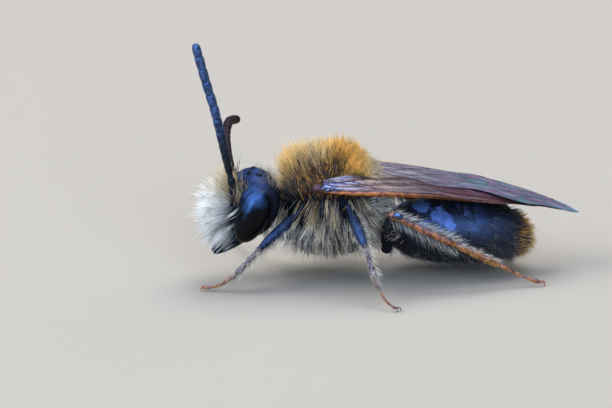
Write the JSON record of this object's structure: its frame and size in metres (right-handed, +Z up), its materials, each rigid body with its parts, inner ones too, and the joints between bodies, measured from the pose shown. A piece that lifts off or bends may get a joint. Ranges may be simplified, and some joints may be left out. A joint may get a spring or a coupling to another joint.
{
  "type": "male mining bee",
  "caption": "Life-size still model of a male mining bee standing with folded wings, raised feelers, a white-bearded face and a furry amber thorax.",
  "frame": {"origin": "middle of the bottom of the bee's box, on the floor between its feet", "axes": "+Z up, -X the way the bee faces, -Y its left side"},
  "size_m": [0.0126, 0.0084, 0.0084],
  "materials": {
    "black_shell": "satin black shell with fine pits",
    "brown_shell": "glossy brown shell",
    "leg_brown": "satin orange-brown shell with short hair",
    "eye": "polished black",
    "wing": "clear smoky film with violet and pink sheen",
    "amber_hair": "soft upright hair",
    "white_hair": "soft combed hair"
  },
  "bodies": {
    "root": {"abdomen_segment_1": "black_shell", "abdomen_segment_2": "black_shell", "abdomen_segment_3": "black_shell", "abdomen_segment_4": "black_shell", "abdomen_segment_5": "black_shell", "abdomen_segment_6": "black_shell", "antenna_left_flagellum": "black_shell", "antenna_left_scape": "black_shell", "antenna_right_flagellum": "black_shell", "antenna_right_scape": "black_shell", "eye_left": "eye", "eye_right": "eye", "face_beard": "white_hair", "forewing_left": "wing", "forewing_right": "wing", "head": "black_shell", "hindwing_left": "wing", "hindwing_right": "wing", "leg_fore_left_femur": "black_shell", "leg_fore_left_tarsus": "leg_brown", "leg_fore_left_tibia": "leg_brown", "leg_fore_right_femur": "black_shell", "leg_fore_right_tarsus": "leg_brown", "leg_fore_right_tibia": "leg_brown", "leg_hind_left_femur": "black_shell", "leg_hind_left_tarsus": "leg_brown", "leg_hind_left_tibia": "leg_brown", "leg_hind_right_femur": "black_shell", "leg_hind_right_tarsus": "leg_brown", "leg_hind_right_tibia": "leg_brown", "leg_mid_left_femur": "black_shell", "leg_mid_left_tarsus": "leg_brown", "leg_mid_left_tibia": "leg_brown", "leg_mid_right_femur": "black_shell", "leg_mid_right_tarsus": "leg_brown", "leg_mid_right_tibia": "leg_brown", "mandible_left": "black_shell", "mandible_right": "black_shell", "tegula_left": "brown_shell", "tegula_right": "brown_shell", "thorax": "amber_hair"}
  },
  "joints": []
}
